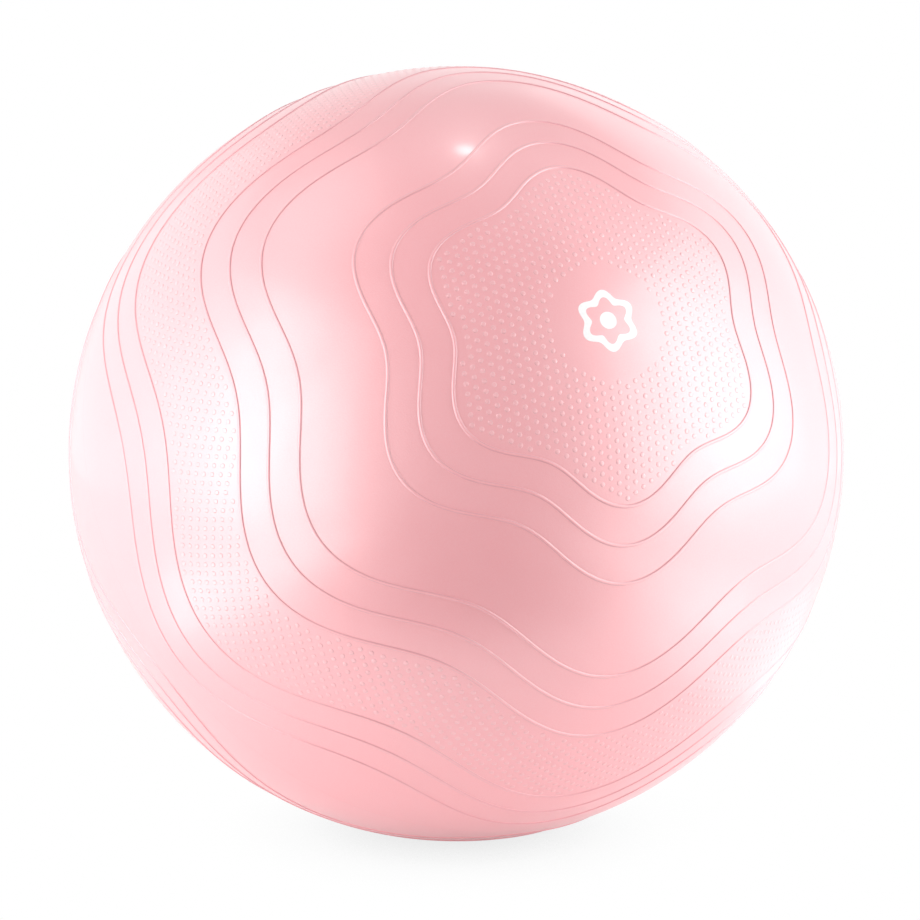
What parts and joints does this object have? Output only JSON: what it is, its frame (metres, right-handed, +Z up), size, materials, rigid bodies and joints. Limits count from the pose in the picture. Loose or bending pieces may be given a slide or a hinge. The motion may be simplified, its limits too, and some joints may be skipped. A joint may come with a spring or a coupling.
{
  "type": "exercise ball",
  "caption": "Large inflated ball with wavy moulded grip ribs, a soft valve seat and a push-in air plug that pulls straight out.",
  "frame": {"origin": "centre of the contact flat on which the ball stands", "axes": "+Z up out of the floor; -Y towards the side that carries the front pole of the rib pattern, +Y towards the valve; +X to the right as seen from -Y"},
  "size_m": [0.6478, 0.6514, 0.6488],
  "materials": {
    "skin": "satin pearl soft PVC",
    "valve": "soft PVC",
    "plug": "moulded polyethylene",
    "print": "screen-printed ink"
  },
  "bodies": {
    "ball": {"ball_skin": "skin", "valve_seat": "valve"},
    "plug": {"air_plug": "plug"}
  },
  "joints": [
    {"name": "plug_pull", "type": "slide", "parent": "ball", "child": "plug", "axis": [0, 0.8878, -0.4602], "range_m": [0, 0.035]}
  ]
}
